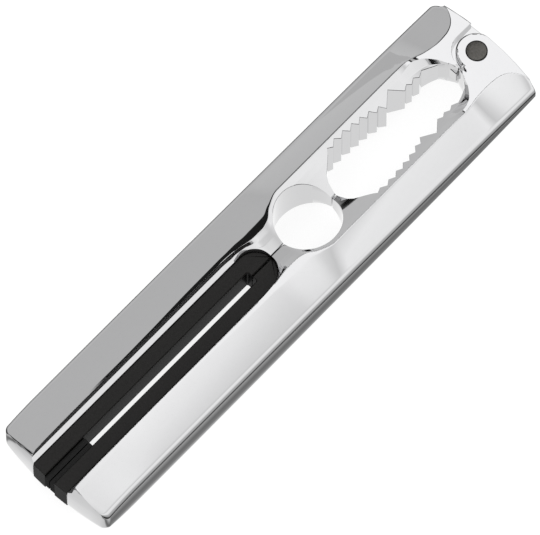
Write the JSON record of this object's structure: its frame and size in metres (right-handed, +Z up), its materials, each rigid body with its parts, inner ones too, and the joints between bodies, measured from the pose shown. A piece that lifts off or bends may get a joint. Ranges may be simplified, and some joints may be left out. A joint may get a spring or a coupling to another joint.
{
  "type": "nutcracker",
  "caption": "Flat two-lever nutcracker in polished chrome with toothed jaws, a round bottle-neck hole, black grip inlays and an end hinge.",
  "frame": {"origin": "under the middle of the closed tool's bounding box, on the surface it lies on", "axes": "+X along the tool from the handle ends to the hinge, +Y from the lower lever to the upper lever, +Z up through the thickness"},
  "size_m": [0.1752, 0.0382, 0.0196],
  "materials": {
    "chrome_metal": "mirror-polished chrome plate over die-cast metal",
    "black_grip": "smooth satin black moulded grip",
    "black_rubber": "matte black stop block",
    "steel": "plain ground steel",
    "bronze": "sintered bearing bronze",
    "dark_cap": "dark blackened satin cap"
  },
  "bodies": {
    "lower_lever": {"lower_arm": "chrome_metal", "lower_grip": "black_grip", "lower_grip_dowels": "steel", "lower_stop_block": "black_rubber", "pivot_pin": "steel", "pivot_cap_top": "dark_cap", "pivot_cap_bottom": "dark_cap"},
    "upper_lever": {"upper_arm": "chrome_metal", "upper_grip": "black_grip", "upper_grip_dowels": "steel", "upper_stop_block": "black_rubber", "pivot_bush": "bronze", "pivot_washer_top": "steel", "pivot_washer_bottom": "steel"}
  },
  "joints": [
    {"name": "lever_pivot", "type": "hinge", "parent": "lower_lever", "child": "upper_lever", "pos_m": [0.082, 0, 0.0098], "axis": [0, 0, -1], "range_deg": [0, 90]}
  ]
}
